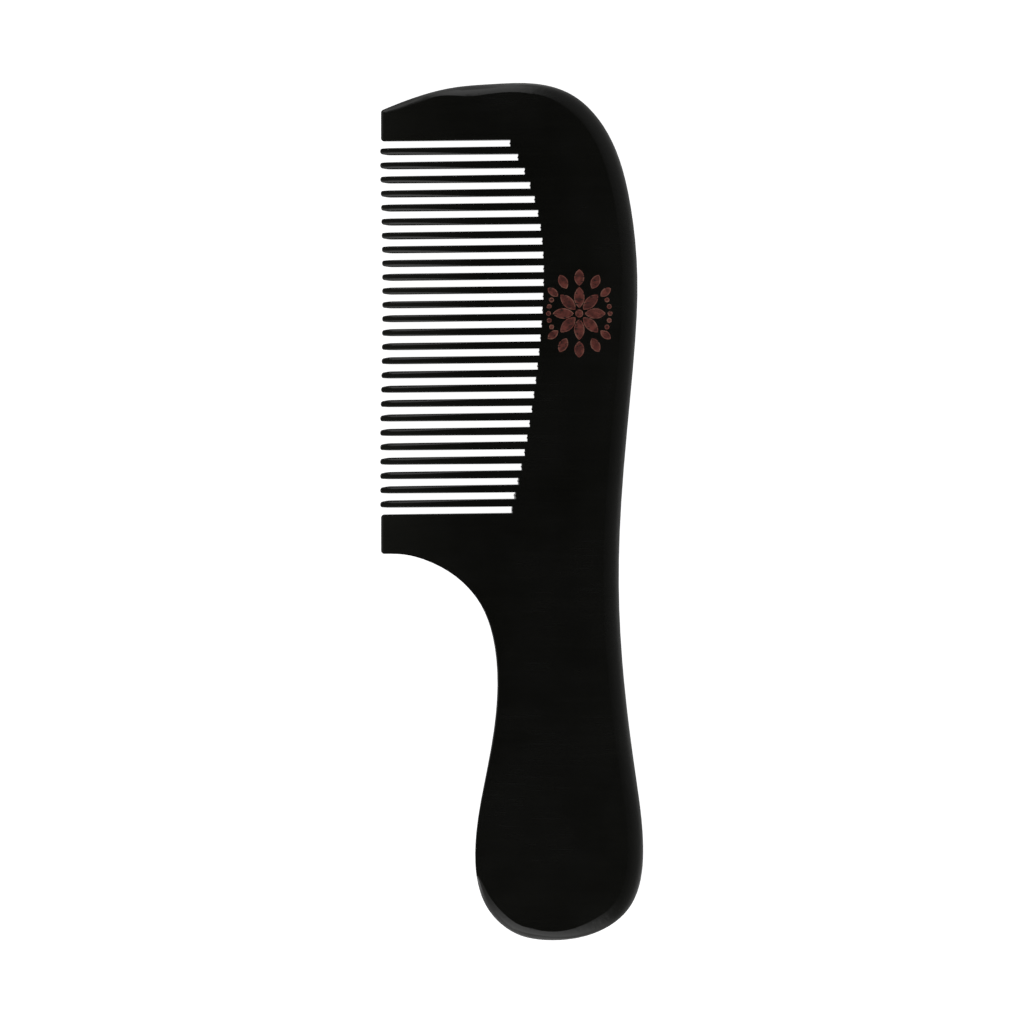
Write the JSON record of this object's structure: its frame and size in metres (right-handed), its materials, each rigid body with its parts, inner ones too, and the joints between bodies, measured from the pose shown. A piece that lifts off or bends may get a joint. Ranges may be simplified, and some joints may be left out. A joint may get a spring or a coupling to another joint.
{
  "type": "beard comb",
  "caption": "Handled wooden beard comb with fine sawn teeth between two thick guards, a rounded spine and a small inlaid ornament.",
  "frame": {"origin": "on the surface the comb lies on, under the middle of its bounding box", "axes": "+Z is the thickness, up from the flat back face; +Y runs from the handle to the head; the teeth point to -X"},
  "size_m": [0.0561, 0.1826, 0.0084],
  "materials": {
    "dark_wood": "black-stained hardwood, oiled to a satin polish",
    "emblem_fill": "red-brown inlay, satin",
    "emblem_outline": "paler red-brown line round each inlaid figure, satin"
  },
  "bodies": {
    "root": {"back_and_handle": "dark_wood", "tooth_01": "dark_wood", "tooth_02": "dark_wood", "tooth_03": "dark_wood", "tooth_04": "dark_wood", "tooth_05": "dark_wood", "tooth_06": "dark_wood", "tooth_07": "dark_wood", "tooth_08": "dark_wood", "tooth_09": "dark_wood", "tooth_10": "dark_wood", "tooth_11": "dark_wood", "tooth_12": "dark_wood", "tooth_13": "dark_wood", "tooth_14": "dark_wood", "tooth_15": "dark_wood", "tooth_16": "dark_wood", "tooth_17": "dark_wood", "tooth_18": "dark_wood", "tooth_19": "dark_wood", "tooth_20": "dark_wood", "tooth_21": "dark_wood", "tooth_22": "dark_wood", "tooth_23": "dark_wood", "tooth_24": "dark_wood", "tooth_25": "dark_wood", "tooth_26": "dark_wood", "emblem_rosette": "emblem_fill", "emblem_leaves": "emblem_fill", "emblem_beads": "emblem_fill", "emblem_outlines": "emblem_outline"}
  },
  "joints": []
}
